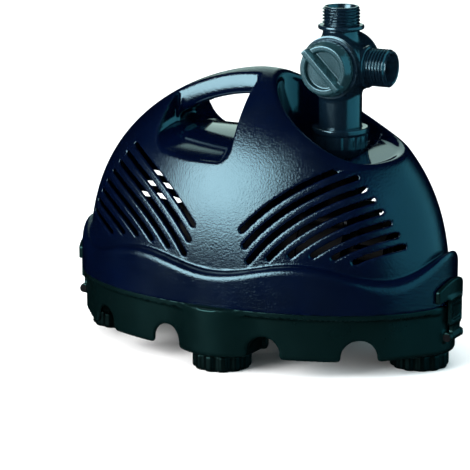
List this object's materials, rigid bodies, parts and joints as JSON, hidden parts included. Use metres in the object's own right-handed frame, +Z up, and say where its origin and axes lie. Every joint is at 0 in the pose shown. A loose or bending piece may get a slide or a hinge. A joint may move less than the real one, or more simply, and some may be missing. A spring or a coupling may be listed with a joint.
{
  "type": "fountain submersible pump",
  "caption": "Dome-shaped fountain pump with a vented cover and carrying handle, a legged base, end latches and a swivelling two-way diverter valve with threaded outlets.",
  "frame": {"origin": "centre of the footprint, on the plane the feet rest on", "axes": "+X along the motor axis towards the intake, -Y is the front, +Z up"},
  "size_m": [0.238, 0.145, 0.1974],
  "materials": {
    "navy_shell": "satin moulded plastic with a fine spark texture",
    "black_shell": "satin moulded plastic",
    "fitting_plastic": "smooth moulded plastic",
    "foot_rubber": "matt",
    "seal_rubber": "matt",
    "stainless": "brushed",
    "motor_plastic": "satin moulded plastic",
    "lamination": "stacked sheet steel",
    "copper_winding": "enamelled copper wire",
    "ceramic": "polished ceramic",
    "ferrite": "ground ferrite",
    "impeller_plastic": "moulded plastic",
    "plug_plastic": "moulded plastic"
  },
  "bodies": {
    "housing": {"dome_cover": "navy_shell", "base_tray": "black_shell", "foot_front": "foot_rubber", "foot_back": "foot_rubber", "foot_left": "foot_rubber", "foot_right": "foot_rubber", "cradle_pads": "seal_rubber", "rear_bush": "seal_rubber", "front_bush": "seal_rubber", "volute_seal": "seal_rubber", "union_seal": "seal_rubber", "latch_pins": "stainless", "foot_screws": "stainless", "volute_screws": "stainless", "motor_can": "motor_plastic", "motor_cradle": "motor_plastic", "volute_housing": "motor_plastic", "volute_cover": "motor_plastic", "intake_strainer": "motor_plastic", "cable_gland": "motor_plastic", "stator_core": "lamination", "stator_coils": "copper_winding", "rotor_shaft": "ceramic"},
    "rotor": {"rotor_magnet": "ferrite", "impeller": "impeller_plastic"},
    "nut": {"union_nut": "fitting_plastic"},
    "diverter": {"diverter_body": "fitting_plastic", "valve_bonnet": "fitting_plastic"},
    "knob": {"valve_knob": "fitting_plastic", "valve_plug": "plug_plastic", "plug_seal": "seal_rubber"},
    "latch_right": {"latch_right": "black_shell"},
    "latch_left": {"latch_left": "black_shell"}
  },
  "joints": [
    {"name": "rotor_spin", "type": "hinge", "parent": "housing", "child": "rotor", "pos_m": [0, 0, 0.06], "axis": [1, 0, 0], "continuous": true},
    {"name": "nut_turn", "type": "hinge", "parent": "housing", "child": "nut", "pos_m": [0.046, 0, 0.12], "axis": [0, 0, 1], "continuous": true},
    {"name": "diverter_swivel", "type": "hinge", "parent": "housing", "child": "diverter", "pos_m": [0.046, 0, 0.165], "axis": [0, 0, 1], "continuous": true},
    {"name": "valve_turn", "type": "hinge", "parent": "diverter", "child": "knob", "pos_m": [0.046, -0.016, 0.165], "axis": [0, -1, 0], "range_deg": [-45, 45]},
    {"name": "latch_right_open", "type": "hinge", "parent": "housing", "child": "latch_right", "pos_m": [0.1162, 0, 0.02], "axis": [0, 1, 0], "range_deg": [0, 75]},
    {"name": "latch_left_open", "type": "hinge", "parent": "housing", "child": "latch_left", "pos_m": [-0.1162, 0, 0.02], "axis": [0, -1, 0], "range_deg": [0, 75]}
  ]
}
